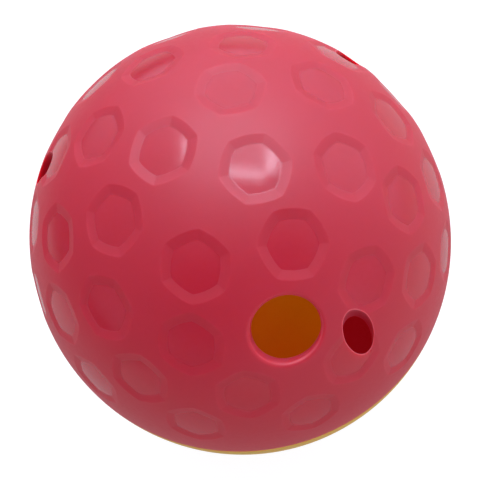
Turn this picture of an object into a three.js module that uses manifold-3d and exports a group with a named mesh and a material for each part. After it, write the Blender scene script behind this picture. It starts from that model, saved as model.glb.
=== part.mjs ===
// Hollow treat-dispensing ball with a dimpled shell, made as two snap-together halves
// around a baffle disc.
// Millimetres, +Z up. Origin at the centre of the ball. +Z is the pole of the front
// (pink) half, -Z the pole of the rear (yellow) half, and the seam lies in the plane
// z = 0. The lipped loading hole faces -Y and up.
// Directions are given by polar angle from +Z and azimuth from +X, in degrees.
import * as THREE from 'three';
import { mergeVertices } from 'three/addons/utils/BufferGeometryUtils.js';
import { ConvexHull } from 'three/addons/math/ConvexHull.js';
import Module from 'manifold-3d';

const wasm = await Module();
wasm.setup();

// ---- shell and seam ----
const BALL_R = 57;
const WALL = 3;
const INNER_R = BALL_R - WALL;
const SEAM_GAP = 0.3;         // gap between the two rims
const RIM_Z = SEAM_GAP / 2;   // distance of each rim from the seam plane
const RIM_BEVEL = 0.35;       // bevel on each rim's outer edge

// ---- dimples ----
const DIMPLE_TOP = 7.87;      // angle from a dimple's centre to its outer corners
const DIMPLE_TOP_MID = 7.4;   // and to the middles of its sides, which bow outwards
const DIMPLE_FLOOR = 5.65;    // the same two angles for its floor
const DIMPLE_FLOOR_MID = 5.24;
const DIMPLE_DEPTH = 0.49;    // the floor's centre and outline lie this far inside the ball
const DIMPLE_FACETS = 12;     // facets around a dimple, two to each side
// rings of hexagonal dimples: polar angle, count, azimuth of one of them
const RINGS = [
  { polar: 11.7, count: 3, az: -64.5 },
  { polar: 28.8, count: 8, az: -120 },
  { polar: 46.2, count: 12, az: 0 },
  { polar: 60.1, count: 12, az: 15 },
  { polar: 72.4, count: 12, az: 0 },
];
const FOOT_RING = RINGS[0];   // left out of the rear half, where the foot is
const HOLE_RING = RINGS[2];   // has one dimple left out for the loading hole

// ---- filler points on the lands between dimples ----
const LAND_STEP = 6.2;        // mean spacing, degrees
const LAND_MIN_STEP = 0.52 * LAND_STEP;
const LAND_CLEARANCE = 0.7;   // kept outside the dimples' corners, degrees
const LAND_PAST_SEAM = 0.1;   // how far they run past the seam, as a fraction of the radius

// ---- loading hole ----
const HOLE_POLAR = 45.6;
const HOLE_AZ = -90;
const HOLE_R = 7.85;          // throat radius
const HOLE_LIP = 0.95;        // radius of its rounded lip
const LIP_STEPS = 4;          // facets across the lip
const LIP_SINK = 0.35;        // lip's top below the ball's radius
const HOLE_DEPTH = 12;
const HOLE_FLARE = 0.6;       // widening of the cutter outside the lip
const HOLE_OVERCUT = 2;

// ---- small ports, bored parallel to Z ----
const PORT_R = 3.65;
const PORT_DIST = 46.55;      // distance of their axes from the Z axis
const PORT_AZ = [-70.2, 30, 150];
const PORT_Z0 = 20;
const PORT_Z1 = 46;

// ---- front half's interior and spigot ring ----
const FRONT_DOME_Z = 12.2;    // the inner dome ends here
const FRONT_TAPER_Z = 3;      // and the taper below it meets the spigot's bore here
const SPIGOT_RO = 53.3;
const SPIGOT_RI = 51.2;
const SPIGOT_LEN = 5.0;       // below the seam plane
const SPIGOT_ROOT = 3;        // above the front rim
const SPIGOT_CHAMFER = 0.6;
const BEAD = 0.3;             // height of the snap bead on the spigot
const BEAD_Z = -2.6;
const BEAD_HALF_WIDTH = 0.8;

// ---- keys that stop the halves from turning, and their slots ----
const KEY_AZ = [90, 210, 330];
const KEY_W = 4;
const KEY_RI = 52;
const KEY_RO = 54.6;
const KEY_BOTTOM = -4.6;
const KEY_ROOT = 0.5;         // above the front rim
const SLOT_SIDE_GAP = 0.4;
const SLOT_OUTER_GAP = 0.35;
const SLOT_END_GAP = 0.6;

// ---- rear half's interior and foot ----
const LEDGE_Z = -8.35;        // top of the ledge that carries the disc
const LEDGE_RI = 49.5;
const LEDGE_EDGE = 1.2;       // height of the ledge's inner edge
const REAR_DOME_R = 52.3;     // radius from Z where the inner dome meets the ledge's taper
const FOOT_R = 10;            // flat foot at the rear pole
const FOOT_CUT = 4;           // height of the block that cuts it

// ---- baffle disc ----
const DISC_R = 52.9;
const DISC_Z0 = -8.0;
const DISC_Z1 = -5.6;
const DISC_CHAMFER = 0.4;
const DROP_R = 13;            // drop openings
const DROP_DIST = 26;
const DROP_AZ = -80;
const DROP_COUNT = 3;
const FINGER_R = 7;           // finger hole in the middle

// ---- resolution ----
const SEG = 60;               // facets around, outside
const SEG_IN = 40;            // facets around, inside
const SEG_HIDDEN = 24;        // points around each ring on the part that is trimmed away
const SEG_FOOT = 30;
const SEG_HOLE = 36;
const SEG_PORT = 24;
const SEG_DISC = 72;
const SEG_DROP = 40;
const SEG_FINGER = 28;
const DOME_STEP = 9.6;        // facets along the inner domes, degrees

const OVERCUT = 1;            // how far cutters run past what they cut

const X_AXIS_TURN = Math.PI / 2; // turns a shape's own Y axis to +Z
const Y_AXIS = new THREE.Vector3(0, 1, 0);
const Z_AXIS = new THREE.Vector3(0, 0, 1);

// ---- helpers ----
const rad = (degrees) => (degrees * Math.PI) / 180;
const deg = (radians) => (radians * 180) / Math.PI;

// converts a closed geometry, dropping the triangles that collapse when vertices merge
function solid(geometry) {
  const bare = geometry.clone();
  bare.deleteAttribute('normal');
  bare.deleteAttribute('uv');
  const merged = mergeVertices(bare, 1e-4);
  const index = merged.index.array;
  const triangles = [];
  for (let i = 0; i < index.length; i += 3) {
    const [a, b, c] = [index[i], index[i + 1], index[i + 2]];
    if (a !== b && b !== c && a !== c) triangles.push(a, b, c);
  }
  return new wasm.Manifold(
    new wasm.Mesh({
      numProp: 3,
      vertProperties: new Float32Array(merged.attributes.position.array),
      triVerts: new Uint32Array(triangles),
    })
  );
}

function toMesh(manifold, name, material) {
  const source = manifold.getMesh();
  const positions = new Float32Array(source.vertProperties);
  const geometry = new THREE.BufferGeometry();
  geometry.setAttribute('position', new THREE.BufferAttribute(positions, 3));
  geometry.setIndex(new THREE.BufferAttribute(new Uint32Array(source.triVerts), 1));
  geometry.computeVertexNormals();
  const mesh = new THREE.Mesh(geometry, material);
  mesh.name = name;
  return mesh;
}

// turns a profile of (radius, z) points about Z; the material is on its left-hand side
function lathe(profile, segments = SEG) {
  const points = profile.map(([radius, z]) => new THREE.Vector2(radius, z));
  return new THREE.LatheGeometry(points, segments).rotateX(X_AXIS_TURN);
}

// profile points along the inner dome, between two polar angles, ends included
function domeArc(from, to) {
  const steps = Math.max(1, Math.round(Math.abs(to - from) / DOME_STEP));
  const points = [];
  for (let i = 0; i <= steps; i++) {
    const angle = rad(from + ((to - from) * i) / steps);
    const x = INNER_R * Math.sin(angle);
    // points on the axis must lie on it exactly
    points.push([Math.abs(x) < 1e-9 ? 0 : x, INNER_R * Math.cos(angle)]);
  }
  return points;
}

// radius from Z of the shell's inner sphere at a height
const innerRadiusAt = (z) => Math.sqrt(INNER_R * INNER_R - z * z);

// cylinder parallel to Z, its axis at a distance and azimuth from the Z axis
function bore({ radius, distance, az, bottom, top, segments }) {
  const cylinder = new THREE.CylinderGeometry(radius, radius, top - bottom, segments, 1);
  cylinder.rotateX(X_AXIS_TURN);
  cylinder.translate(
    distance * Math.cos(rad(az)),
    distance * Math.sin(rad(az)),
    (bottom + top) / 2
  );
  return solid(cylinder);
}

// block that runs outwards from KEY_RI at an azimuth
function keyBlock({ az, outer, width, bottom, top }) {
  const block = new THREE.BoxGeometry(outer - KEY_RI, width, top - bottom);
  block.translate((outer + KEY_RI) / 2, 0, (bottom + top) / 2);
  block.rotateZ(rad(az));
  return solid(block);
}

// unit vector of a direction
function unit(polar, az) {
  return new THREE.Vector3(
    Math.sin(rad(polar)) * Math.cos(rad(az)),
    Math.sin(rad(polar)) * Math.sin(rad(az)),
    Math.cos(rad(polar))
  );
}

// unit vectors in rings at the polar angles, every second ring turned by half a step
function unitRings(polars, count) {
  return polars.flatMap((polar, k) =>
    Array.from({ length: count }, (_, i) => unit(polar, (360 / count) * (i + 0.5 * (k % 2))))
  );
}

// ---- dimpled ball ----
// the centres of one half's dimples; side is 1 for the front half, -1 for the rear
function dimpleSites(side, skip) {
  const sites = [];
  for (const ring of RINGS) {
    for (let i = 0; i < ring.count; i++) {
      const az = ring.az + (360 / ring.count) * i;
      if (skip(ring, az)) continue;
      sites.push({ polar: side > 0 ? ring.polar : 180 - ring.polar, az });
    }
  }
  return sites;
}

// hexagon with bowed sides about a site, one corner on the meridian, as unit vectors
function outline(site, corner, middle) {
  return Array.from({ length: DIMPLE_FACETS }, (_, i) =>
    unit(i % 2 ? middle : corner, (360 / DIMPLE_FACETS) * i)
      .applyAxisAngle(Y_AXIS, rad(site.polar))
      .applyAxisAngle(Z_AXIS, rad(site.az))
  );
}

// evenly spread unit vectors on a spiral over the whole ball
function spiral() {
  const count = Math.round((4 * Math.PI) / rad(LAND_STEP) ** 2);
  return Array.from({ length: count }, (_, i) => {
    const z = 1 - (2 * i + 1) / count;
    const angle = i * Math.PI * (3 - Math.sqrt(5));
    const radius = Math.sqrt(1 - z * z);
    return new THREE.Vector3(radius * Math.cos(angle), radius * Math.sin(angle), z);
  });
}

// a closed faceted ball with dimples at the sites. The lands are the convex hull of the
// dimples' outlines, the fixed points and filler points, so every outline bounds a patch
// of that hull, and the patch is replaced by the dimple's recess.
function dimpledBall(sites, fixed, side) {
  const points = [];
  const owner = new Map(); // outline point -> its site
  const put = (direction, site) => {
    const point = direction.clone().multiplyScalar(BALL_R);
    points.push(point);
    if (site) owner.set(point, site);
    return point;
  };
  const rims = sites.map((site) =>
    outline(site, DIMPLE_TOP, DIMPLE_TOP_MID).map((direction) => put(direction, site))
  );
  const centres = sites.map((site) => unit(site.polar, site.az));
  fixed.forEach((direction) => put(direction));
  for (const filler of spiral()) {
    if (side * filler.z < -LAND_PAST_SEAM) continue;
    if (centres.some((c) => c.angleTo(filler) < rad(DIMPLE_TOP + LAND_CLEARANCE))) continue;
    if (points.some((p) => p.angleTo(filler) < rad(LAND_MIN_STEP))) continue;
    put(filler);
  }

  const indexOf = new Map();
  const positions = [];
  const triangles = [];
  const addTriangle = (...corners) => {
    for (const corner of corners) {
      if (!indexOf.has(corner)) {
        indexOf.set(corner, positions.length / 3);
        positions.push(corner.x, corner.y, corner.z);
      }
      triangles.push(indexOf.get(corner));
    }
  };
  for (const face of new ConvexHull().setFromPoints(points).faces) {
    const corners = [0, 1, 2].map((i) => face.getEdge(i).head().point);
    const site = owner.get(corners[0]);
    if (site && corners.every((corner) => owner.get(corner) === site)) continue;
    addTriangle(...corners);
  }
  sites.forEach((site, k) => {
    const floorR = BALL_R - DIMPLE_DEPTH;
    const outer = rims[k];
    const inner = outline(site, DIMPLE_FLOOR, DIMPLE_FLOOR_MID);
    inner.forEach((point) => point.multiplyScalar(floorR));
    const centre = centres[k].clone().multiplyScalar(floorR);
    for (let i = 0; i < DIMPLE_FACETS; i++) {
      const j = (i + 1) % DIMPLE_FACETS;
      addTriangle(outer[i], outer[j], inner[j]);
      addTriangle(outer[i], inner[j], inner[i]);
      addTriangle(inner[i], inner[j], centre);
    }
  });
  const geometry = new THREE.BufferGeometry();
  geometry.setAttribute('position', new THREE.Float32BufferAttribute(positions, 3));
  geometry.setIndex(triangles);
  return solid(geometry);
}

// keeps what lies beyond a half's rim plane, and bevels the rim's outer edge with a V cut
function trimHalf(body, side) {
  const keep = new THREE.BoxGeometry(3 * BALL_R, 3 * BALL_R, 2 * BALL_R);
  keep.translate(0, 0, side * (BALL_R + RIM_Z));
  const tip = [BALL_R - RIM_BEVEL - RIM_Z, 0];
  const reach = RIM_Z + RIM_BEVEL + OVERCUT;
  const groove = [tip, [BALL_R + OVERCUT, -reach], [BALL_R + OVERCUT, reach], tip];
  return body.intersect(solid(keep)).subtract(solid(lathe(groove)));
}

// ---- front half ----
function spigot() {
  return solid(lathe([
    [0, -SPIGOT_LEN],
    [SPIGOT_RO - SPIGOT_CHAMFER, -SPIGOT_LEN],
    [SPIGOT_RO, -SPIGOT_LEN + SPIGOT_CHAMFER],
    [SPIGOT_RO, BEAD_Z - BEAD_HALF_WIDTH],
    [SPIGOT_RO + BEAD, BEAD_Z],
    [SPIGOT_RO, BEAD_Z + BEAD_HALF_WIDTH],
    [SPIGOT_RO, RIM_Z + SPIGOT_ROOT],
    [0, RIM_Z + SPIGOT_ROOT],
  ]));
}

// cutter for the loading hole: throat and rounded lip
function loadingHole() {
  const lipZ = BALL_R - LIP_SINK - HOLE_LIP;
  const bottom = BALL_R - HOLE_DEPTH;
  const top = BALL_R + HOLE_OVERCUT;
  const profile = [[0, bottom], [HOLE_R, bottom], [HOLE_R, lipZ]];
  for (let i = 1; i <= LIP_STEPS; i++) {
    const angle = rad((90 / LIP_STEPS) * i);
    profile.push([
      HOLE_R + HOLE_LIP * (1 - Math.cos(angle)),
      lipZ + HOLE_LIP * Math.sin(angle),
    ]);
  }
  profile.push([HOLE_R + HOLE_LIP + HOLE_FLARE, top], [0, top]);
  const cutter = lathe(profile, SEG_HOLE);
  cutter.rotateY(rad(HOLE_POLAR));
  cutter.rotateZ(rad(HOLE_AZ));
  return solid(cutter);
}

function frontShell() {
  const sites = dimpleSites(1, (ring, az) => ring === HOLE_RING && az === HOLE_AZ + 360);
  const fixed = [
    ...unitRings([84.9, 89.4], SEG),
    ...unitRings([96, 110, 130, 150], SEG_HIDDEN),
    unit(180, 0),
  ];
  const cavity = [
    [0, -SPIGOT_LEN - OVERCUT],
    [SPIGOT_RI, -SPIGOT_LEN - OVERCUT],
    [SPIGOT_RI, FRONT_TAPER_Z],
    ...domeArc(deg(Math.acos(FRONT_DOME_Z / INNER_R)), 0),
  ];
  let body = trimHalf(dimpledBall(sites, fixed, 1), 1);
  body = body.add(spigot()).subtract(solid(lathe(cavity, SEG_IN)));
  for (const az of KEY_AZ) {
    const top = RIM_Z + KEY_ROOT;
    body = body.add(keyBlock({ az, outer: KEY_RO, width: KEY_W, bottom: KEY_BOTTOM, top }));
  }
  body = body.subtract(loadingHole());
  for (const az of PORT_AZ) {
    body = body.subtract(bore({
      radius: PORT_R, distance: PORT_DIST, az,
      bottom: PORT_Z0, top: PORT_Z1, segments: SEG_PORT,
    }));
  }
  return body;
}

// ---- rear half ----
function rearShell() {
  const footPolar = 180 - deg(Math.asin(FOOT_R / BALL_R));
  const sites = dimpleSites(-1, (ring) => ring === FOOT_RING);
  const fixed = [
    ...unitRings([95.1, 90.6], SEG),
    ...unitRings([footPolar], SEG_FOOT),
    ...unitRings([84, 70, 50, 30], SEG_HIDDEN),
    unit(0, 0),
  ];
  const foot = new THREE.BoxGeometry(4 * FOOT_R, 4 * FOOT_R, FOOT_CUT);
  foot.translate(0, 0, BALL_R * Math.cos(rad(footPolar)) - FOOT_CUT / 2);
  // the space above the ledge, open at the rim
  const mouth = [
    [0, LEDGE_Z],
    [innerRadiusAt(LEDGE_Z), LEDGE_Z],
    [innerRadiusAt(RIM_Z), -RIM_Z],
    [innerRadiusAt(RIM_Z), OVERCUT],
    [0, OVERCUT],
  ];
  // the space below it
  const cavity = [
    ...domeArc(180, 180 - deg(Math.asin(REAR_DOME_R / INNER_R))),
    [LEDGE_RI, LEDGE_Z - LEDGE_EDGE],
    [LEDGE_RI, LEDGE_Z + OVERCUT],
    [0, LEDGE_Z + OVERCUT],
  ];
  let body = trimHalf(dimpledBall(sites, fixed, -1), -1)
    .subtract(solid(foot))
    .subtract(solid(lathe(mouth)))
    .subtract(solid(lathe(cavity, SEG_IN)));
  for (const az of KEY_AZ) {
    body = body.subtract(keyBlock({
      az,
      outer: KEY_RO + SLOT_OUTER_GAP,
      width: KEY_W + 2 * SLOT_SIDE_GAP,
      bottom: KEY_BOTTOM - SLOT_END_GAP,
      top: OVERCUT,
    }));
  }
  return body;
}

// ---- baffle disc ----
function baffleDisc() {
  const profile = [
    [0, DISC_Z0],
    [DISC_R - DISC_CHAMFER, DISC_Z0],
    [DISC_R, DISC_Z0 + DISC_CHAMFER],
    [DISC_R, DISC_Z1 - DISC_CHAMFER],
    [DISC_R - DISC_CHAMFER, DISC_Z1],
    [0, DISC_Z1],
  ];
  const openings = [{ radius: FINGER_R, distance: 0, az: 0, segments: SEG_FINGER }];
  for (let i = 0; i < DROP_COUNT; i++) {
    const az = DROP_AZ + (360 / DROP_COUNT) * i;
    openings.push({ radius: DROP_R, distance: DROP_DIST, az, segments: SEG_DROP });
  }
  let body = solid(lathe(profile, SEG_DISC));
  for (const opening of openings) {
    const cutter = bore({ ...opening, bottom: DISC_Z0 - OVERCUT, top: DISC_Z1 + OVERCUT });
    body = body.subtract(cutter);
  }
  return body;
}

// ---- materials and assembly ----
const plastic = ({ color, roughness }) =>
  new THREE.MeshStandardMaterial({ color, roughness, metalness: 0 });
const pink = plastic({ color: 0xc8394f, roughness: 0.5 });
const yellow = plastic({ color: 0xd9a520, roughness: 0.5 });
const red = plastic({ color: 0xa01c2c, roughness: 0.55 });

const ball = new THREE.Group();
ball.name = 'treat_ball';
ball.add(toMesh(frontShell(), 'front_shell', pink));
ball.add(toMesh(rearShell(), 'rear_shell', yellow));
ball.add(toMesh(baffleDisc(), 'baffle_disc', red));

export default ball;
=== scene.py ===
import math

import bpy
import numpy as np
from mathutils import Matrix, Vector
from mathutils.geometry import delaunay_2d_cdt


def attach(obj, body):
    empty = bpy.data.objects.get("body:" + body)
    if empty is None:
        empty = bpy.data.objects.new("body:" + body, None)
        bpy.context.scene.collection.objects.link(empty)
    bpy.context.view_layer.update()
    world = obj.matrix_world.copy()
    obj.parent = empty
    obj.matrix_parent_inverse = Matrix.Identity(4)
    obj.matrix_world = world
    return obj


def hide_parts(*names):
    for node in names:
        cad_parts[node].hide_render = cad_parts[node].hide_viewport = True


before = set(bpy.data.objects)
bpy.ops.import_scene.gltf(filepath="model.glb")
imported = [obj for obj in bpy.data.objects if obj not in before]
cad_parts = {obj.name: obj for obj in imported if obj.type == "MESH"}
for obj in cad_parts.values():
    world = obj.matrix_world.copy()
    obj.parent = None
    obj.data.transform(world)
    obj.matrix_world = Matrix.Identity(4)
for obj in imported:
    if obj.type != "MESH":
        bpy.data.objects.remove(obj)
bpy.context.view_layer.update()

MM = 0.001

# ------------------------------------------------------------------ sizes (mm)
R = 57.0
RI = 54.0
SEAM = 0.15              # half the gap between the two rims
EDGE = 0.35              # rounding of each rim's outer edge
DEPTH = 0.49             # dimples
FACET_LEAN = math.radians(6.6)    # lean of a dimple's six flat facets, from the plane touching the ball at its centre
FACET_REACH = math.radians(14.0)  # from a facet's own normal to the edge it cuts on the ball
PLANE = R * math.cos(FACET_REACH)  # distance of each facet's plane from the ball's centre
RINGS = [(11.7, 3, -64.5), (28.8, 8, -120), (46.2, 12, 0), (60.1, 12, 15), (72.4, 12, 0)]
HOLE_POLAR, HOLE_AZ, HOLE_R, LIP = 45.24, -90.0, 7.85, 0.95
HOLE_DRIFT = np.array([0.56, -0.08, -0.1])   # how far the throat has moved sideways at the inside
PORT_R, PORT_DIST, PORT_AZ, PORT_EDGE = 3.65, 46.21, (-70.4, 30.0, 150.0), 0.3
KEY_AZ, KEY_W, KEY_R = (90.0, 210.0, 330.0), 4.0, 54.6
FOOT_R = 10.0
FOOT_Z = math.sqrt(R * R - FOOT_R * FOOT_R)


# ------------------------------------------------------------------ directions
def unit(polar, az):
    p, a = np.radians(polar), np.radians(az)
    return np.stack([np.sin(p) * np.cos(a), np.sin(p) * np.sin(a), np.cos(p) + 0 * a], -1)


def tangents(polar, az):
    p, a = math.radians(polar), math.radians(az)
    ex = np.array([math.cos(p) * math.cos(a), math.cos(p) * math.sin(a), -math.sin(p)])
    ey = np.array([-math.sin(a), math.cos(a), 0.0])
    return ex, ey


SIDES = np.radians([30.0, 90.0, 150.0, 210.0, 270.0, 330.0])


def sink(up, a, b):
    """How far the facets lie under the ball, in depths: 0 on a dimple's outline, 1 at the floor's edge.
    up, a, b: a direction's parts along the dimple's axis and its two tangents."""
    lean = [a * math.cos(s) + b * math.sin(s) for s in SIDES]
    near = math.cos(FACET_LEAN) * up - math.sin(FACET_LEAN) * np.max(lean, axis=0)
    return (R - PLANE / np.maximum(near, 0.5)) / DEPTH


def rounded(x, w):
    """0 below -w, x above w, and a smooth turn between."""
    s = np.clip((x + w) / (2 * w), 0, 1)
    return np.where(x > w, x, 2 * w * (s ** 3 - s ** 4 / 2))


def recess(t, w_out=0.10, w_in=0.075):
    """0 on the land, 1 on the floor."""
    return rounded(t, w_out) - rounded(t - 1, w_in)


class Half:
    """One half's outer surface, built pole-up. The rear half is built the same way and mirrored."""

    def __init__(self, sites, foot):
        self.sites = sites
        self.c = np.array([unit(p, a) for p, a in sites])
        self.ex = np.array([tangents(p, a)[0] for p, a in sites])
        self.ey = np.array([tangents(p, a)[1] for p, a in sites])
        self.foot = foot

    def level(self, d):
        """sink() in the nearest dimple of each direction."""
        dot = d @ self.c.T
        k = dot.argmax(1)
        near = dot[np.arange(len(d)), k]
        t = sink(near, (d * self.ex[k]).sum(1), (d * self.ey[k]).sum(1))
        return np.where(near < math.cos(FACET_REACH + 0.01), -3.0, t)

    def radius(self, d):
        r = R - DEPTH * recess(self.level(d))
        if self.foot:
            r = np.minimum(r, FOOT_Z / np.maximum(d[:, 2], 1e-6))
        return r

    def on_column(self, xy):
        """Points of the outer surface straight above the given (x, y), mm."""
        z = np.sqrt(np.maximum(R * R - (xy ** 2).sum(1), 0))
        for _ in range(12):
            p = np.c_[xy, z]
            n = np.linalg.norm(p, axis=1)
            rho = self.radius(p / n[:, None])
            z = np.sqrt(np.maximum(rho ** 2 - (xy ** 2).sum(1), 0))
        return np.c_[xy, z]


def flat(d):
    """Stereographic map of directions, from the far pole, so that it keeps angles."""
    return d[:, :2] / (1 + d[:, 2:3])


def unflat(q):
    s = (q ** 2).sum(1)
    return np.c_[2 * q, 1 - s] / (1 + s)[:, None]


def fibonacci(step_deg):
    n = int(round(4 * math.pi / math.radians(step_deg) ** 2))
    i = np.arange(n)
    z = 1 - (2 * i + 1) / n
    a = i * math.pi * (3 - math.sqrt(5))
    q = np.sqrt(1 - z * z)
    return np.stack([q * np.cos(a), q * np.sin(a), z], 1)


def triangulate(points, loops):
    """points: directions. loops: lists of indexes into points, each a closed outline kept as edges."""
    q = flat(points)
    edges = [(l[i], l[(i + 1) % len(l)]) for l in loops for i in range(len(l))]
    out = delaunay_2d_cdt([Vector(v) for v in q], edges, [], 0, 1e-8)
    verts, faces, orig = out[0], out[2], out[3]
    d = unflat(np.array([tuple(v) for v in verts]))
    back = np.full(len(d), -1)
    for i, o in enumerate(orig):
        if len(o):
            back[i] = o[0]
            d[i] = points[o[0]]
    return d, np.array([tuple(f) for f in faces]), back


class Mesh:
    """Vertices, faces and per-vertex masks of one piece."""

    def __init__(self):
        self.v, self.f, self.mask = [], [], []
        self.n = 0

    def add(self, pts, floor=0.0, inner=0.0, wear=0.0):
        pts = np.asarray(pts, float)
        m = np.zeros((len(pts), 3))
        m[:, 0], m[:, 1], m[:, 2] = floor, inner, wear
        self.v.append(pts)
        self.mask.append(m)
        ids = np.arange(self.n, self.n + len(pts))
        self.n += len(pts)
        return ids

    def strip(self, a, b, flip=False):
        """Quads between two closed rings of the same length."""
        n = len(a)
        for i in range(n):
            j = (i + 1) % n
            q = (a[i], a[j], b[j], b[i])
            self.f.append(q[::-1] if flip else q)

    def tris(self, faces, flip=False):
        for t in faces:
            self.f.append(tuple(int(x) for x in (t[::-1] if flip else t)))

    def make(self, name, mirror=False):
        v = np.concatenate(self.v) * MM
        mask = np.concatenate(self.mask)
        faces = self.f
        if mirror:
            v[:, 2] *= -1
            faces = [tuple(f)[::-1] for f in faces]
        me = bpy.data.meshes.new(name)
        me.from_pydata(v.tolist(), [], [[int(i) for i in f] for f in faces])
        for k, key in enumerate(("floor", "inner", "wear")):
            at = me.attributes.new(key, "FLOAT", "POINT")
            at.data.foreach_set("value", mask[:, k].astype(np.float32))
        me.update()
        for p in me.polygons:
            p.use_smooth = True
        ob = bpy.data.objects.new(name, me)
        bpy.context.scene.collection.objects.link(ob)
        return ob


def outward(d, faces):
    """Turns every triangle so that it faces away from the centre."""
    a, b, c = (d[faces[:, i]] for i in range(3))
    s = (np.cross(b - a, c - a) * (a + b + c)).sum(1)
    faces = faces.copy()
    faces[s < 0] = faces[s < 0][:, ::-1]
    return faces


# azimuths shared by every ring at the seam, with close pairs at the keys' sides
def seam_azimuths(width):
    az = list(np.arange(0, 360, 1.2))
    half = math.degrees(math.asin(width / 2 / 54.0))
    for k in KEY_AZ:
        az = [a for a in az if min(abs(a - k + s * half) for s in (-1, 1)) > 0.45]
        az += [k - half - 0.03, k - half + 0.03, k + half - 0.03, k + half + 0.03]
    return np.array(sorted(a % 360 for a in az)), half


def in_key(az, half):
    return np.any([np.abs((az - k + 180) % 360 - 180) < half for k in KEY_AZ], axis=0)


def hex_ring(c, ex, ey, t, per_edge=10):
    """Directions of a dimple's outline at the level t."""
    psi = []
    for k in range(6):
        psi += [60.0 * k + 60.0 * i / per_edge for i in range(per_edge)]
        if per_edge > 5:
            psi += [60.0 * k + 1.3, 60.0 * k + 58.7]
    psi = np.radians(sorted(psi))
    turn = (psi - SIDES[0] + math.pi / 6) % (math.pi / 3) - math.pi / 6
    p, q = math.cos(FACET_LEAN), math.sin(FACET_LEAN) * np.cos(turn)
    theta = np.arccos(PLANE / (R - t * DEPTH) / np.hypot(p, q)) - np.arctan2(q, p)
    return np.cos(theta)[:, None] * c + np.sin(theta)[:, None] * (np.cos(psi)[:, None] * ex + np.sin(psi)[:, None] * ey)


LEVELS = (-0.75, -0.36, -0.17, -0.10, -0.05, 0.0, 0.05, 0.10, 0.22, 0.42, 0.62, 0.82, 0.925, 0.965, 1.0, 1.035, 1.075,
          1.2, 1.5, 1.9, 2.3)


def outer_surface(mesh, half, az, ports, hole):
    """Adds one half's dimpled outer surface. Returns the rings of vertices at the rim, the ports and the hole."""
    polar_rim = math.degrees(math.acos((SEAM + EDGE) / R))
    pts, loops = [], []
    total = 0

    def put(d, loop=False):
        nonlocal total
        ids = list(range(total, total + len(d)))
        pts.append(d)
        total += len(d)
        if loop:
            loops.append(ids)
        return ids

    put(unit(np.full(len(az), polar_rim), az), True)
    t = np.arange(0, 360, 4.5)
    columns = []
    for a in ports:
        cx, cy = PORT_DIST * math.cos(math.radians(a)), PORT_DIST * math.sin(math.radians(a))
        columns.append((cx, cy))
        xy = np.c_[cx + (PORT_R + PORT_EDGE) * np.cos(np.radians(t)), cy + (PORT_R + PORT_EDGE) * np.sin(np.radians(t))]
        p = half.on_column(xy)
        put(p / np.linalg.norm(p, axis=1)[:, None], True)
    n_hole = 120
    if hole:
        h = unit(HOLE_POLAR, HOLE_AZ)
        hx, hy = tangents(HOLE_POLAR, HOLE_AZ)
        rho_c = HOLE_R + LIP
        edge_angle = math.asin(rho_c / (R - LIP))
        th = np.linspace(0, 2 * math.pi, n_hole, endpoint=False)
        ring = math.cos(edge_angle) * h + math.sin(edge_angle) * (np.cos(th)[:, None] * hx + np.sin(th)[:, None] * hy)
        put(ring, True)
        for k in (1.04, 1.12, 1.25):
            e = edge_angle * k
            put(math.cos(e) * h + math.sin(e) * (np.cos(th[::2])[:, None] * hx + np.sin(th[::2])[:, None] * hy))
    # dimples
    for c, ex, ey in zip(half.c, half.ex, half.ey):
        for t_level in LEVELS:
            put(hex_ring(c, ex, ey, t_level, 10 if t_level < 1.4 else 5))
        put(c[None])
    dimple_pts = np.concatenate(pts)
    # land
    land = fibonacci(1.35)
    land = land[(land[:, 2] > math.cos(math.radians(polar_rim - 0.9)))]
    land = land[half.level(land) < -1.0]
    if hole:
        land = land[land @ h < math.cos(edge_angle * 1.32)]
    if half.foot:
        fp = math.degrees(math.asin(FOOT_R / R))
        a = np.arange(0, 360, 3.0)
        for k, dp in enumerate((-0.5, -0.12, 0.0, 0.12, 0.5)):
            put(unit(np.full(len(a), fp + dp), a))
        polar = np.degrees(np.arccos(land[:, 2]))
        land = land[np.abs(polar - fp) > 1.1]
    pts.append(land)
    allp = np.concatenate(pts)
    # nothing else inside a port or the hole, or right on its edge
    keep = np.ones(len(allp), bool)
    loop_ids = set(i for l in loops for i in l)
    rad = half.radius(allp)
    xyz = allp * rad[:, None]
    for cx, cy in columns:
        keep &= np.hypot(xyz[:, 0] - cx, xyz[:, 1] - cy) > PORT_R + PORT_EDGE + 0.22
    if hole:
        keep &= (allp @ h < math.cos(edge_angle * 1.01))
    for i in loop_ids:
        keep[i] = True
    index = np.cumsum(keep) - 1
    allp = allp[keep]
    loops = [[int(index[i]) for i in l] for l in loops]
    d, faces, back = triangulate(allp, loops)
    faces = outward(d, faces)
    rad = half.radius(d)
    xyz = d * rad[:, None]
    mid = xyz[faces].mean(1)
    drop = np.zeros(len(faces), bool)
    for cx, cy in columns:
        drop |= np.hypot(mid[:, 0] - cx, mid[:, 1] - cy) < (PORT_R + PORT_EDGE) * 0.9992
    if hole:
        m = mid / np.linalg.norm(mid, axis=1)[:, None]
        drop |= m @ h > math.cos(edge_angle * 0.9996)
    faces = faces[~drop]
    level = half.level(d)
    floor = np.clip((level - 0.91) / 0.12, 0, 1)
    wear = np.exp(-(level / 0.17) ** 2)
    ids = mesh.add(xyz, floor=floor, wear=wear)
    mesh.tris(ids[faces])
    where = {int(b): i for i, b in enumerate(back) if b >= 0}
    rings = [np.array([ids[where[i]] for i in l]) for l in loops]
    return rings, columns, t


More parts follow.
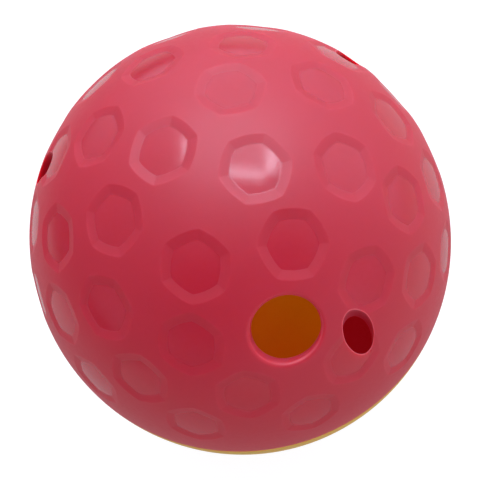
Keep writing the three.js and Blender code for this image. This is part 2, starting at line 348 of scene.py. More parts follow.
def inner_surface(mesh, polar_rim, az, columns, t, hole_ring):
    """Adds the inside of a half, facing the centre. Returns its rings."""
    pts, loops = [], []
    total = 0

    def put(d, loop=False):
        nonlocal total
        ids = list(range(total, total + len(d)))
        pts.append(d)
        total += len(d)
        if loop:
            loops.append(ids)

    put(unit(np.full(len(az), polar_rim), az), True)
    for cx, cy in columns:
        xy = np.c_[cx + (PORT_R + 0.15) * np.cos(np.radians(t)), cy + (PORT_R + 0.15) * np.sin(np.radians(t))]
        p = np.c_[xy, np.sqrt(RI * RI - (xy ** 2).sum(1))]
        put(p / RI, True)
    if hole_ring is not None:
        put(hole_ring / np.linalg.norm(hole_ring, axis=1)[:, None], True)
    land = fibonacci(2.6)
    land = land[land[:, 2] > math.cos(math.radians(polar_rim - 1.2))]
    xyz = land * RI
    for cx, cy in columns:
        land = land[np.hypot(xyz[:, 0] - cx, xyz[:, 1] - cy) > PORT_R + 0.9]
        xyz = land * RI
    if hole_ring is not None:
        h = unit(HOLE_POLAR, HOLE_AZ) * RI + HOLE_DRIFT
        h /= np.linalg.norm(h)
        e = math.asin((HOLE_R + 1.0) / RI)
        land = land[land @ h < math.cos(e)]
    put(land)
    allp = np.concatenate(pts)
    d, faces, back = triangulate(allp, loops)
    faces = outward(d, faces)
    xyz = d * RI
    mid = xyz[faces].mean(1)
    drop = np.zeros(len(faces), bool)
    for cx, cy in columns:
        drop |= np.hypot(mid[:, 0] - cx, mid[:, 1] - cy) < (PORT_R + 0.15) * 0.9992
    if hole_ring is not None:
        drop |= np.isin(back[faces], loops[-1]).all(1)
    faces = faces[~drop]
    # the inside is marked inner: rougher, less shiny, and given the painted glow where it is closed in
    ids = mesh.add(xyz, inner=1.0)
    mesh.tris(ids[faces], flip=True)
    where = {int(b): i for i, b in enumerate(back) if b >= 0}
    return [np.array([ids[where[i]] for i in l]) for l in loops]


def ring_points(az, r, z):
    a = np.radians(az)
    r = np.broadcast_to(r, a.shape)
    return np.c_[r * np.cos(a), r * np.sin(a), np.full(len(a), z)]


def port_walls(mesh, half, outer, inner, column, t):
    cx, cy = column
    prev = outer
    ct, st = np.cos(np.radians(t)), np.sin(np.radians(t))
    top = None
    # wear above 1 is painted highlight and glow: a light line at the port's edge
    for dr, dz in ((0.16, 0.03), (0.06, 0.1), (0.0, 0.26)):
        xy = np.c_[cx + (PORT_R + dr) * ct, cy + (PORT_R + dr) * st]
        p = half.on_column(xy)
        p[:, 2] -= dz
        ids = mesh.add(p, wear=1.9 if dz == 0.1 else 1.2, inner=0.0 if dz < 0.2 else 0.6)
        mesh.strip(prev, ids)
        prev, top = ids, p
    xy = np.c_[cx + PORT_R * ct, cy + PORT_R * st]
    bottom = np.c_[xy, np.sqrt(RI * RI - (xy ** 2).sum(1)) + 0.15]
    # and a painted glow that fades down the bore
    for k in (0.15, 0.35, 0.55, 0.75, 0.92, 1.0):
        p = top * (1 - k) + bottom * k
        ids = mesh.add(p, inner=min(1.0, 0.6 + k), wear=1.2 - 0.2 * k)
        mesh.strip(prev, ids)
        prev = ids
    mesh.strip(prev, inner)


def hole_walls(mesh, outer, inner_ring_fn):
    """The rounded lip and the throat of the loading hole."""
    h = unit(HOLE_POLAR, HOLE_AZ)
    hx, hy = tangents(HOLE_POLAR, HOLE_AZ)
    n = len(outer)
    th = np.linspace(0, 2 * math.pi, n, endpoint=False)
    rho_c = HOLE_R + LIP
    hc = math.sqrt((R - LIP) ** 2 - rho_c ** 2)
    a0 = math.atan2(hc, rho_c)
    prev = outer

    def circle(rho, height):
        return height * h + rho * (np.cos(th)[:, None] * hx + np.sin(th)[:, None] * hy)

    # wear above 1 on the inner part of the lip and on the throat paints them lighter and glowing: painted highlight and
    # glow
    for k in range(1, 9):
        a = a0 + (math.pi - a0) * k / 8
        ids = mesh.add(circle(rho_c + LIP * math.cos(a), hc + LIP * math.sin(a)), wear=0.5 if k < 4 else 1.25)
        mesh.strip(prev, ids)
        prev = ids
    low = math.sqrt(RI ** 2 - HOLE_R ** 2)
    for k in (0.4, 0.75, 1.0):
        ids = mesh.add(circle(HOLE_R, hc + (low + 0.15 - hc) * k) + HOLE_DRIFT * k, inner=0.3 * k, wear=1.3)
        mesh.strip(prev, ids)
        prev = ids
    return prev


def front():
    skip = [p for p in RINGS]
    sites = []
    for polar, count, a0 in RINGS:
        for i in range(count):
            a = a0 + 360.0 / count * i
            if polar == 46.2 and abs(a - 270) < 1:
                continue
            sites.append((polar, a))
    half = Half(sites, False)
    mesh = Mesh()
    az, kh = seam_azimuths(KEY_W)
    rings, columns, t = outer_surface(mesh, half, az, PORT_AZ, True)
    rim, ports, hole = rings[0], rings[1:4], rings[4]
    h = unit(HOLE_POLAR, HOLE_AZ)
    hx, hy = tangents(HOLE_POLAR, HOLE_AZ)
    th = np.linspace(0, 2 * math.pi, len(hole), endpoint=False)
    rr = HOLE_R + 0.2
    hole_in = math.sqrt(RI ** 2 - rr ** 2) * h + rr * (np.cos(th)[:, None] * hx + np.sin(th)[:, None] * hy) + HOLE_DRIFT
    inner_polar = math.degrees(math.acos(12.2 / RI))
    inner = inner_surface(mesh, inner_polar, az, columns, t, hole_in)
    for k in range(3):
        port_walls(mesh, half, ports[k], inner[1 + k], columns[k], t)
    last = hole_walls(mesh, hole, None)
    mesh.strip(last, inner[4])
    key = in_key(az, kh)
    profile = [
        (R - 0.02, 0.36, 0.8, 0), (R - 0.1, 0.24, 1, 0), (R - 0.22, 0.17, 1, 0), (R - 0.38, SEAM, 0.6, 0),
        (R - 0.7, SEAM, 0.2, 0.5), (55.2, SEAM, 0, 1), (54.9, SEAM, 0, 1),
        (53.6, SEAM, 0, 1), (53.36, 0.02, 0, 1), (53.3, -0.3, 0, 1), (53.3, -1.7, 0, 1), (53.42, -2.05, 0, 1),
        (53.56, -2.35, 0, 1), (53.6, -2.6, 0, 1), (53.56, -2.85, 0, 1), (53.42, -3.15, 0, 1), (53.3, -3.5, 0, 1),
        (53.3, -4.3, 0, 1), (53.3, -4.4, 0, 1), (53.2, -4.75, 0, 1), (52.9, -5.0, 0, 1), (51.6, -5.0, 0, 1),
        (51.32, -4.9, 0, 1), (51.2, -4.6, 0, 1), (51.2, 0.0, 0, 1), (51.2, 3.0, 0, 1), (51.34, 4.2, 0, 1),
        (51.9, 8.0, 0, 1),
    ]
    prev = rim
    for r, z, wear, inn in profile:
        rr = np.full(len(az), r)
        if r < 54 and r >= 53.3 and -4.35 < z < SEAM + 0.01:
            rr = np.where(key, KEY_R, rr)
        ids = mesh.add(ring_points(az, rr, z), wear=wear, inner=inn)
        mesh.strip(prev, ids, flip=True)
        prev = ids
    mesh.strip(prev, inner[0], flip=True)
    return mesh.make("front_shell_skin")


def rear():
    sites = []
    for polar, count, a0 in RINGS[1:]:
        for i in range(count):
            sites.append((polar, a0 + 360.0 / count * i))
    half = Half(sites, True)
    mesh = Mesh()
    az, kh = seam_azimuths(KEY_W + 0.8)
    rings, columns, t = outer_surface(mesh, half, az, (), False)
    rim = rings[0]
    inner_polar = math.degrees(math.asin(52.3 / RI))
    inner = inner_surface(mesh, inner_polar, az, [], t, None)
    slot = in_key(az, kh)

    def wall(z):
        return math.sqrt(RI * RI - z * z)

    profile = [
        (R - 0.02, 0.36, 0.8, 0), (R - 0.1, 0.24, 1, 0), (R - 0.22, 0.17, 1, 0), (R - 0.38, SEAM, 0.6, 0),
        (R - 0.7, SEAM, 0.2, 0.5), (55.3, SEAM, 0, 1), (54.25, SEAM, 0, 1), (54.05, 0.22, 0, 1), (53.99, 0.45, 0, 1),
        (wall(1.2), 1.2, 0, 1), (wall(3.2), 3.2, 0, 1), (wall(5.15), 5.15, 0, 1), (wall(5.25), 5.25, 0, 1),
        (wall(6.8), 6.8, 0, 1), (wall(8.2), 8.2, 0, 1), (53.2, 8.35, 0, 1), (49.85, 8.35, 0, 1),
        (49.6, 8.42, 0, 1), (49.5, 8.65, 0, 1), (49.5, 9.4, 0, 1), (49.62, 9.7, 0, 1), (50.9, 11.5, 0, 1),
    ]
    prev = rim
    for r, z, wear, inn in profile:
        rr = np.full(len(az), r)
        if r < 54.3 and z < 5.2:
            rr = np.where(slot, KEY_R + 0.35, rr)
        ids = mesh.add(ring_points(az, rr, z), wear=wear, inner=inn)
        mesh.strip(prev, ids, flip=True)
        prev = ids
    mesh.strip(prev, inner[0], flip=True)
    return mesh.make("rear_shell_skin", mirror=True)


def disc():
    """Baffle disc: a plate with rounded edges, three drop openings with rounded rims and a finger hole."""
    z0, z1, ro = -8.0, -5.6, 52.9
    circles = [(0.0, 0.0, ro, 240, True), (0.0, 0.0, 7.0, 64, False)]
    for k in range(3):
        a = math.radians(-80 + 120 * k)
        circles.append((26 * math.cos(a), 26 * math.sin(a), 13.0, 96, False))
    mesh = Mesh()
    fil = 0.45
    steps = [0.0, 22.5, 45.0, 67.5, 90.0]
    levels = []
    for a in steps:
        levels.append((fil * (1 - math.sin(math.radians(a))), z1 - fil * (1 - math.cos(math.radians(a)))))
    wall = [(i, z) for i, z in levels] + [(i, z0 + z1 - z) for i, z in reversed(levels)]
    ring_ids = []
    for cx, cy, r, n, is_outer in circles:
        th = np.linspace(0, 2 * math.pi, n, endpoint=False)
        rows = []
        for inset, z in wall:
            rr = r - inset if is_outer else r + inset
            # all of the disc is marked inner, so it takes the painted glow where it is closed in
            rows.append(mesh.add(np.c_[cx + rr * np.cos(th), cy + rr * np.sin(th), np.full(n, z)], wear=0.4, inner=1.0))
        for a, b in zip(rows, rows[1:]):
            mesh.strip(a, b, flip=is_outer)
        ring_ids.append((rows[0], rows[-1]))
    v = np.concatenate(mesh.v)
    grid = fibonacci(4.2)
    # faces: a flat triangulation of the top, reused underneath
    xs = np.arange(-52, 52.1, 3.0)
    gx, gy = np.meshgrid(xs, xs)
    pts = np.c_[gx.ravel(), gy.ravel()] + np.c_[(np.arange(gx.size) % 2) * 0.3, np.zeros(gx.size)]
    ok = np.hypot(pts[:, 0], pts[:, 1]) < ro - fil - 1.2
    for cx, cy, r, n, is_outer in circles[1:]:
        ok &= np.hypot(pts[:, 0] - cx, pts[:, 1] - cy) > r + fil + 1.2
    pts = pts[ok]
    for side in (0, 1):
        coords, edges, ids = [], [], []
        for rows in ring_ids:
            l = rows[side]
            s = len(coords)
            coords += [tuple(v[i][:2]) for i in l]
            ids += list(l)
            edges += [(s + i, s + (i + 1) % len(l)) for i in range(len(l))]
        z = z1 if side == 0 else z0
        extra = mesh.add(np.c_[pts, np.full(len(pts), z)], inner=1.0)
        coords += [tuple(p) for p in pts]
        ids += list(extra)
        out = delaunay_2d_cdt([Vector(c) for c in coords], edges, [], 0, 1e-6)
        q = np.array([tuple(c) for c in out[0]])
        for f in out[2]:
            m = q[list(f)].mean(0)
            if math.hypot(*m) > ro - fil:
                continue
            if any(math.hypot(m[0] - cx, m[1] - cy) < r + fil for cx, cy, r, n, o in circles[1:]):
                continue
            tri = [ids[out[3][i][0]] for i in f]
            a, b, c = (q[i] for i in f)
            up = (b[0] - a[0]) * (c[1] - a[1]) - (b[1] - a[1]) * (c[0] - a[0]) > 0
            mesh.f.append(tuple(tri if up == (side == 0) else tri[::-1]))
    ob = mesh.make("baffle_disc_skin")
    for p in ob.data.polygons:
        p.use_smooth = True
    return ob


front_ob, rear_ob, disc_ob = front(), rear(), disc()
for ob, body, node, slot in (
    (front_ob, "front_half", "front_shell", "pink_shell"),
    (rear_ob, "rear_half", "rear_shell", "yellow_shell"),
    (disc_ob, "disc", "baffle_disc", "red_disc"),
):
    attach(ob, body)
    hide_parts(node)


# ------------------------------------------------------------------ materials
def nodes_of(mat):
    mat.use_nodes = True
    nt = mat.node_tree
    nt.nodes.clear()
    return nt


class Graph:
    def __init__(self, mat):
        self.nt = nodes_of(mat)

    def node(self, kind, **props):
        n = self.nt.nodes.new(kind)
        for k, v in props.items():
            if k.startswith("in_"):
                n.inputs[k[3:].replace("_", " ")].default_value = v
            else:
                setattr(n, k, v)
        return n

    def link(self, a, b):
        self.nt.links.new(a, b)

    def value(self, x):
        if isinstance(x, (int, float)):
            n = self.node("ShaderNodeValue")
            n.outputs[0].default_value = x
            return n.outputs[0]
        return x

    def math(self, op, a, b=None, clamp=False):
        n = self.node("ShaderNodeMath", operation=op, use_clamp=clamp)
        for i, x in enumerate((a, b)):
            if x is None:
                continue
            if isinstance(x, (int, float)):
                n.inputs[i].default_value = x
            else:
                self.link(x, n.inputs[i])
        return n.outputs[0]

    def mix(self, fac, a, b):
        n = self.node("ShaderNodeMix", data_type="RGBA")
        for sock, x in ((n.inputs["Factor"], fac), (n.inputs[6], a), (n.inputs[7], b)):
            if hasattr(x, "is_output"):
                self.link(x, sock)
            else:
                sock.default_value = x
        return n.outputs[2]

    def attr(self, name):
        return self.node("ShaderNodeAttribute", attribute_name=name).outputs["Fac"]

    def noise(self, vec, scale, detail=3.0, rough=0.55):
        n = self.node("ShaderNodeTexNoise")
        n.inputs["Scale"].default_value = scale
        n.inputs["Detail"].default_value = detail
        n.inputs["Roughness"].default_value = rough
        self.link(vec, n.inputs["Vector"])
        return n.outputs["Fac"]

    def remap(self, x, a, b, c, d):
        n = self.node("ShaderNodeMapRange")
        n.clamp = True
        self.link(x, n.inputs["Value"])
        for k, v in zip(("From Min", "From Max", "To Min", "To Max"), (a, b, c, d)):
            n.inputs[k].default_value = v
        return n.outputs["Result"]


def moulded(name, base, deep, pale, land_rough, floor_rough, sss, glow, painted_glow_outside, painted_rim_highlight_colour, inner_rough=0.55, spec=0.5, radius=(1.0, 0.3, 0.2)):
    """Moulded soft plastic: a fine matte texture on the land, smoother floors in the dimples,
    faint clouds of colour, scuffed edges, a few specks of dust, a painted highlight on the rims of the openings
    and a painted glow that stands in for light coming through the walls."""
    mat = bpy.data.materials.new(name)
    g = Graph(mat)
    co = g.node("ShaderNodeTexCoord").outputs["Object"]
    floor, inner, wear = g.attr("floor"), g.attr("inner"), g.attr("wear")
    cloud = g.noise(co, 55.0, 4.0)
    fine = g.noise(co, 900.0, 3.0, 0.6)
    grain = g.noise(co, 3200.0, 2.0, 0.5)
    col = g.mix(g.remap(cloud, 0.3, 0.7, 0.0, 1.0), base, deep)
    col = g.mix(g.remap(fine, 0.35, 0.75, 0.0, 0.06), col, pale)
    # painted highlight: wear above 1 marks the rims of the ports and the hole's lip and throat, which are painted
    # lighter and made to glow
    rim = g.remap(wear, 1.0, 2.0, 0.0, 1.0)
    wear = g.math("MINIMUM", wear, 1.0)
    scuff = g.math("MULTIPLY", wear, g.remap(g.noise(co, 260.0, 4.0, 0.65), 0.45, 0.8, 0.0, 0.35))
    col = g.mix(scuff, col, pale)
    # painted highlight: the rims are mixed towards a pale colour
    col = g.mix(g.math("MULTIPLY", rim, 0.55), col, painted_rim_highlight_colour)
    # dust specks
    vor = g.node("ShaderNodeTexVoronoi", feature="F1", distance="EUCLIDEAN")
    vor.inputs["Scale"].default_value = 120.0
    g.link(co, vor.inputs["Vector"])
    speck = g.math("LESS_THAN", vor.outputs["Distance"], 0.022)
    sep = g.node("ShaderNodeSeparateColor")
    g.link(vor.outputs["Color"], sep.inputs["Color"])
    rare = g.math("GREATER_THAN", sep.outputs["Green"], 0.96)
    dust = g.math("MULTIPLY", g.math("MULTIPLY", speck, rare), 0.55)
    dust = g.math("MULTIPLY", dust, g.math("SUBTRACT", 1.0, inner))
    col = g.mix(dust, col, (0.85, 0.8, 0.78, 1))
    bsdf = g.node("ShaderNodeBsdfPrincipled")
    g.link(col, bsdf.inputs["Base Color"])
    rough = g.math("ADD", land_rough, g.remap(fine, 0.3, 0.7, -0.03, 0.03))
    smooth = g.math("ADD", floor_rough, g.remap(fine, 0.3, 0.7, -0.02, 0.02))
    rf = g.node("ShaderNodeMix", data_type="FLOAT")
    g.link(floor, rf.inputs["Factor"])
    g.link(rough, rf.inputs[2])
    g.link(smooth, rf.inputs[3])
    ri = g.node("ShaderNodeMix", data_type="FLOAT")
    g.link(inner, ri.inputs["Factor"])
    g.link(rf.outputs[0], ri.inputs[2])
    ri.inputs[3].default_value = inner_rough
    g.link(ri.outputs[0], bsdf.inputs["Roughness"])
    g.link(g.remap(inner, 0.0, 1.0, spec, 0.2), bsdf.inputs["Specular IOR Level"])
    # painted glow: an emission that stands in for light coming through the walls; it shows only where a surface is
    # closed in
    ao = g.node("ShaderNodeAmbientOcclusion", samples=6)
    ao.inputs["Distance"].default_value = 0.12
    painted_glow_strength = g.math("MULTIPLY", g.math("SUBTRACT", 1.0, ao.outputs["AO"]), inner)
    # and the same painted glow, even, on the skin outside
    painted_glow_strength = g.math("ADD", painted_glow_strength, g.math("MULTIPLY", g.math("SUBTRACT", 1.0, inner), painted_glow_outside))
    # painted glow along the same rims
    painted_glow_strength = g.math("ADD", painted_glow_strength, g.math("MULTIPLY", rim, 0.4))
    if len(glow) == 6:
        # painted light: the glow is brighter and yellower on the side towards the softbox
        side = g.node("ShaderNodeVectorMath", operation="DOT_PRODUCT")
        level = g.node("ShaderNodeVectorMath", operation="NORMALIZE")
        g.link(co, level.inputs[0])
        g.link(level.outputs["Vector"], side.inputs[0])
        side.inputs[1].default_value = (0.142, 0.387, 0.911)
        g.link(g.mix(g.remap(side.outputs["Value"], -1.0, -0.7, 0.0, 1.0), (*glow[:3], 1), (*glow[3:], 1)),
               bsdf.inputs["Emission Color"])
    else:
        bsdf.inputs["Emission Color"].default_value = (*glow, 1)
    g.link(painted_glow_strength, bsdf.inputs["Emission Strength"])
    bsdf.inputs["IOR"].default_value = 1.48
    bsdf.inputs["Subsurface Weight"].default_value = sss
    bsdf.inputs["Subsurface Radius"].default_value = radius
    bsdf.inputs["Subsurface Scale"].default_value = 0.004
    # bump: strong fine grain on the land, weak on the floors, plus long soft waves everywhere
    amount = g.remap(floor, 0.0, 1.0, 1.0, 0.7)
    b1 = g.node("ShaderNodeBump")
    b1.inputs["Distance"].default_value = 0.00003
    g.link(g.math("MULTIPLY", amount, 0.45), b1.inputs["Strength"])
    g.link(grain, b1.inputs["Height"])
    b2 = g.node("ShaderNodeBump")
    b2.inputs["Distance"].default_value = 0.00012
    b2.inputs["Strength"].default_value = 0.35
    g.link(g.noise(co, 160.0, 2.0, 0.5), b2.inputs["Height"])
    g.link(b1.outputs["Normal"], b2.inputs["Normal"])
    g.link(b2.outputs["Normal"], bsdf.inputs["Normal"])
    out = g.node("ShaderNodeOutputMaterial")
    g.link(bsdf.outputs["BSDF"], out.inputs["Surface"])
    return mat


# the glow colours and the outside amount are painted glow, emission standing in for light through the walls; the rim
# colour is the painted rim highlight; the yellow's glow is painted brighter on the side towards the softbox
pink = moulded("pink_soft_plastic", (0.315, 0.0032, 0.016, 1), (0.295, 0.003, 0.0145, 1), (0.40, 0.04, 0.065, 1), 0.45, 0.14, 1.0, (0.12, 0.0006, 0.004), 1.0,
               (0.62, 0.2, 0.24, 1),
               radius=(1.0, 0.18, 0.15))
yellow = moulded("yellow_soft_plastic", (0.60, 0.36, 0.018, 1), (0.56, 0.32, 0.014, 1), (0.72, 0.55, 0.2, 1), 0.45, 0.14, 1.0, (0.138, 0.020, 0.0002, 0.165, 0.056, 0.0002), 0.35, (0.7, 0.42, 0.1, 1),
                 radius=(1.0, 0.5, 0.08))
red = moulded("red_disc_plastic", (0.42, 0.012, 0.03, 1), (0.36, 0.009, 0.022, 1), (0.6, 0.15, 0.18, 1), 0.5, 0.5, 0.3, (0.11, 0.0006, 0.002), 0.0, (0.5, 0.05, 0.07, 1),
              radius=(1.0, 0.15, 0.12))
front_ob.data.materials.append(pink)
rear_ob.data.materials.append(yellow)
disc_ob.data.materials.append(red)

# ------------------------------------------------------------------ floor and light
def plane(name, size, z):
    me = bpy.data.meshes.new(name)
    s = size / 2
    n = 8
    vs, fs = [], []
    for j in range(n + 1):
        for i in range(n + 1):
            vs.append((-s + size * i / n, -s + size * j / n, z))
    for j in range(n):
        for i in range(n):
            a = j * (n + 1) + i
            fs.append((a, a + 1, a + n + 2, a + n + 1))
    me.from_pydata(vs, [], fs)
    ob = bpy.data.objects.new(name, me)
    bpy.context.scene.collection.objects.link(ob)
    return ob


floor = plane("floor", 6.0, -FOOT_Z * MM - 0.00004)
fm = bpy.data.materials.new("floor_pale")
g = Graph(fm)
b = g.node("ShaderNodeBsdfPrincipled")
b.inputs["Base Color"].default_value = (0.5, 0.5, 0.5, 1)
b.inputs["Roughness"].default_value = 0.9
b.inputs["Specular IOR Level"].default_value = 0.1
glow = g.node("ShaderNodeEmission")
mixer = g.node("ShaderNodeMixShader")
# the camera sees it nearly white; the ball sees it as a dimmer grey glow, with a painted shadow that darkens it near
# the ball and painted light and shade that change it along two directions
seen = g.node("ShaderNodeLightPath").outputs["Is Camera Ray"]
away = g.node("ShaderNodeVectorMath", operation="LENGTH")
flatten = g.node("ShaderNodeVectorMath", operation="MULTIPLY")
g.link(g.node("ShaderNodeNewGeometry").outputs["Position"], flatten.inputs[0])
flatten.inputs[1].default_value = (1, 1, 0)
g.link(flatten.outputs["Vector"], away.inputs[0])
# painted shadow: as the ball sees it, the floor's glow is darker near the ball
felt_with_painted_shade = g.remap(away.outputs["Value"], 0.04, 0.22, 0.40, 0.66)


def painted_light_along(x, y, at0, at1, v0, v1):
    """A painted light or shade factor for the floor's glow, changing with the distance along one direction of the
    floor.
    """
    dot = g.node("ShaderNodeVectorMath", operation="DOT_PRODUCT")
    g.link(flatten.outputs["Vector"], dot.inputs[0])
    dot.inputs[1].default_value = (x, y, 0)
    return g.remap(dot.outputs["Value"], at0, at1, v0, v1)


# painted light and shade: darker far out in one direction, lighter in another
felt_with_painted_shade = g.math("MULTIPLY", felt_with_painted_shade, painted_light_along(-0.87, 0.5, 0.2, 0.45, 1.0, 0.25))
felt_with_painted_shade = g.math("MULTIPLY", felt_with_painted_shade, painted_light_along(0.8, -0.6, 0.09, 0.2, 1.0, 1.35))
g.link(g.math("ADD", g.math("MULTIPLY", felt_with_painted_shade, g.math("SUBTRACT", 1.0, seen)), g.math("MULTIPLY", seen, 1.46)), glow.inputs["Strength"])
g.link(g.math("SUBTRACT", 0.8, g.math("MULTIPLY", seen, 0.2)), mixer.inputs[0])
g.link(b.outputs["BSDF"], mixer.inputs[1])
g.link(glow.outputs["Emission"], mixer.inputs[2])
# seen from underneath the floor is clear, so that the foot and the lower half can be looked at
clear = g.node("ShaderNodeMixShader")
g.link(g.node("ShaderNodeNewGeometry").outputs["Backfacing"], clear.inputs[0])
g.link(mixer.outputs[0], clear.inputs[1])
g.link(g.node("ShaderNodeBsdfTransparent").outputs[0], clear.inputs[2])
o = g.node("ShaderNodeOutputMaterial")
g.link(clear.outputs[0], o.inputs["Surface"])
floor.data.materials.append(fm)

# ------------------------------------------------------------------ camera
# The picture is part of a wider view, so the ball lies off the lens's axis, and the camera uses lens shift.
CAM_D, CAM_F, CAM_UX, CAM_UY, CAM_CX, CAM_CY = 3.603, 712.073, 280.559, 396.47, 243.447, 252.161
TILT, CAM_AZ, ROLL = 26.094, -97.505, -13.342
t, a, r = (math.radians(x) for x in (TILT, CAM_AZ, ROLL))
zc = np.array([math.sin(t) * math.cos(a), math.sin(t) * math.sin(a), math.cos(t)])
pu = np.array([0, 0, 1.0]) - zc[2] * zc
pu /= np.linalg.norm(pu)
q = np.cross(pu, zc)
x1 = math.sin(r) * pu + math.cos(r) * q
y1 = math.cos(r) * pu - math.sin(r) * q
dv = np.array([(CAM_CX - CAM_UX) / CAM_F, -(CAM_CY - CAM_UY) / CAM_F, -1.0])
dv /= np.linalg.norm(dv)
lz = -dv
lx = np.cross([0, 1, 0], lz)
lx /= np.linalg.norm(lx)
ly = np.cross(lz, lx)
local = np.array([lx, ly, lz])              # ball-facing axes, in camera axes
row = np.array([x1, y1, zc])                # the same axes, in the row frame
rot = row.T @ local                         # camera axes to row frame
cam_data = bpy.data.cameras.new("camera")
cam = bpy.data.objects.new("camera", cam_data)
bpy.context.scene.collection.objects.link(cam)
loc = zc * CAM_D * R * MM
cam.matrix_world = Matrix.Translation(Vector(loc)) @ Matrix(rot.tolist()).to_4x4()
cam_data.sensor_width = 36.0
cam_data.lens = CAM_F * 36.0 / 480.0
cam_data.clip_start = 0.01
bpy.context.scene.camera = cam


def shift_driver(prop, amount):
    """The shift belongs to this camera place only: from anywhere else the ball is centred."""
    drv = cam_data.driver_add(prop).driver
    drv.type = "SCRIPTED"
    for axis in "xyz":
        var = drv.variables.new()
        var.name = axis
        var.type = "TRANSFORMS"
        var.targets[0].id = cam
        var.targets[0].transform_type = "LOC_" + axis.upper()
        var.targets[0].transform_space = "WORLD_SPACE"
    drv.expression = f"{amount:.5f} if x*x + y*y + z*z < {(loc @ loc) * 1.05:.6f} else 0.0"


shift_driver("shift_x", (240 - CAM_UX) / 480)
shift_driver("shift_y", (CAM_UY - 240) / 480)


# ------------------------------------------------------------------ lights
def cam_dir(x, y, z):
    """A direction given in the photo's axes: x right, y up, z towards the camera."""
    v = x * x1 + y * y1 + z * zc
    return v / np.linalg.norm(v)


# The studio: a pale tent, brightest overhead and behind the ball. Each entry is one soft patch of it,
# as a direction in the picture's axes and a strength.
SKY = [
    (0.00, 0.00, 1.00, 0.14),
    (0.39, 0.13, 0.91, 0.10),
    (0.08, 0.40, 0.91, 0.73),
    (-0.30, 0.27, 0.91, 0.53),
    (-0.39, -0.13, 0.91, 0.13),
    (-0.08, -0.40, 0.91, 0.08),
    (0.30, -0.27, 0.91, 0.15),
    (0.72, 0.11, 0.68, 0.40),
    (0.52, 0.52, 0.68, 0.85),
    (0.11, 0.72, 0.68, 1.06),
    (-0.33, 0.65, 0.68, 0.93),
    (-0.65, 0.33, 0.68, 0.46),
    (-0.72, -0.11, 0.68, 0.21),
    (-0.52, -0.52, 0.68, 0.13),
    (-0.11, -0.72, 0.68, 0.11),
    (0.33, -0.65, 0.68, 0.42),
    (0.65, -0.33, 0.68, 0.31),
    (0.93, 0.00, 0.36, 0.26),
    (0.83, 0.43, 0.36, 0.69),
    (0.53, 0.77, 0.36, 1.02),
    (0.11, 0.93, 0.36, 1.13),
    (-0.33, 0.87, 0.36, 1.04),
    (-0.70, 0.62, 0.36, 0.50),
    (-0.91, 0.22, 0.36, 0.29),
    (-0.91, -0.22, 0.36, 0.28),
    (-0.70, -0.62, 0.36, 0.32),
    (-0.33, -0.87, 0.36, 0.28),
    (0.11, -0.93, 0.36, 0.46),
    (0.53, -0.77, 0.36, 0.75),
    (0.83, -0.43, 0.36, 0.65),
    (0.99, 0.14, 0.00, 0.53),
    (0.83, 0.56, 0.00, 0.79),
    (0.51, 0.86, 0.00, 0.59),
    (0.08, 1.00, 0.00, 0.82),
    (-0.36, 0.93, 0.00, 0.82),
    (-0.73, 0.69, 0.00, 0.50),
    (-0.95, 0.30, 0.00, 0.25),
    (-0.99, -0.14, 0.00, 0.14),
    (-0.83, -0.56, 0.00, 0.28),
    (0.53, 0.77, -0.36, 0.36),
    (0.11, 0.93, -0.36, 0.59),
    (-0.33, 0.87, -0.36, 0.63),
    (-0.70, 0.62, -0.36, 0.34),
    (-0.91, 0.22, -0.36, 0.11),
]
SKY_WIDTH = 16.0
LIGHT = (1.0, 1.0, 1.22)
world = bpy.data.worlds.new("studio")
bpy.context.scene.world = world
world.use_nodes = True
nt = world.node_tree
nt.nodes.clear()
where = nt.nodes.new("ShaderNodeTexCoord").outputs["Generated"]
total = None
for dx, dy, dz, strength in SKY:
    dot = nt.nodes.new("ShaderNodeVectorMath")
    dot.operation = "DOT_PRODUCT"
    nt.links.new(where, dot.inputs[0])
    dot.inputs[1].default_value = cam_dir(dx, dy, dz) * SKY_WIDTH
    off = nt.nodes.new("ShaderNodeMath")
    off.operation = "ADD"
    nt.links.new(dot.outputs["Value"], off.inputs[0])
    off.inputs[1].default_value = math.log(strength) - SKY_WIDTH
    bell = nt.nodes.new("ShaderNodeMath")
    bell.operation = "EXPONENT"
    nt.links.new(off.outputs[0], bell.inputs[0])
    if total is None:
        total = bell.outputs[0]
    else:
        add = nt.nodes.new("ShaderNodeMath")
        add.operation = "ADD"
        nt.links.new(total, add.inputs[0])
        nt.links.new(bell.outputs[0], add.inputs[1])
        total = add.outputs[0]
tent = nt.nodes.new("ShaderNodeBackground")
tent.inputs["Color"].default_value = (*LIGHT, 1)
nt.links.new(total, tent.inputs["Strength"])
back = nt.nodes.new("ShaderNodeBackground")
back.inputs["Color"].default_value = (1, 1, 1, 1)
back.inputs["Strength"].default_value = 1.0
path = nt.nodes.new("ShaderNodeLightPath")
pick = nt.nodes.new("ShaderNodeMixShader")
nt.links.new(path.outputs["Is Camera Ray"], pick.inputs[0])
nt.links.new(tent.outputs[0], pick.inputs[1])
nt.links.new(back.outputs[0], pick.inputs[2])
end = nt.nodes.new("ShaderNodeOutputWorld")
nt.links.new(pick.outputs[0], end.inputs["Surface"])

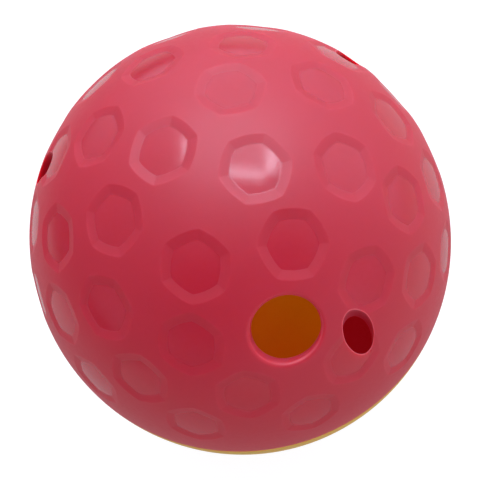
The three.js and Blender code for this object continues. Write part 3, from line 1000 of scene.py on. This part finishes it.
# overhead softbox with brighter edges, square to a direction 50 degrees above the camera's
PANEL_D = 0.6
PANEL_W, PANEL_H, EDGE_W = 0.39, 0.28, 0.05
fc = np.array([-0.09, math.sin(math.radians(50)), math.cos(math.radians(50))])
fc /= np.linalg.norm(fc)
fx = np.cross([0, 1, 0], fc)
fx /= np.linalg.norm(fx)
fy = np.cross(fc, fx)
axes = np.stack([x1, y1, zc])


def panel(name, px, py, w, h, radiance):
    data = bpy.data.lights.new(name, "AREA")
    data.shape = "RECTANGLE"
    data.size, data.size_y = w, h
    data.energy = math.pi * w * h * radiance
    data.color = LIGHT
    ob = bpy.data.objects.new(name, data)
    place = (fc * PANEL_D + fx * px + fy * py) @ axes
    turn = Matrix(np.stack([fx @ axes, fy @ axes, fc @ axes]).T.tolist())
    ob.matrix_world = Matrix.Translation(Vector(place)) @ turn.to_4x4()
    ob.visible_camera = False
    bpy.context.scene.collection.objects.link(ob)


panel("softbox", 0, 0, PANEL_W - EDGE_W, PANEL_H - EDGE_W, 1.4)
panel("softbox_left", -PANEL_W / 2, 0, EDGE_W, PANEL_H - EDGE_W, 8.8)
panel("softbox_right", PANEL_W / 2, 0, EDGE_W, PANEL_H - EDGE_W, 9.4)
panel("softbox_near", 0, -PANEL_H / 2, PANEL_W - EDGE_W, EDGE_W, 7.6)
panel("softbox_far", 0, PANEL_H / 2, PANEL_W - EDGE_W, EDGE_W, 6.5)

# a weak, very soft fill from the camera's side that leaves no highlight
fill = bpy.data.lights.new("fill", "SUN")
fill.energy = 0.14
fill.angle = math.radians(80)
fill_ob = bpy.data.objects.new("fill", fill)
way = np.array([0, 0.15, 1.0]) / np.linalg.norm([0, 0.15, 1.0])
side = np.cross([0, 1, 0], way)
side /= np.linalg.norm(side)
fill_ob.matrix_world = Matrix(np.stack([side @ axes, np.cross(way, side) @ axes, way @ axes]).T.tolist()).to_4x4()
fill_ob.visible_glossy = False
fill_ob.visible_camera = False
bpy.context.scene.collection.objects.link(fill_ob)

scene = bpy.context.scene
scene.view_settings.view_transform = "Standard"
scene.view_settings.look = "None"
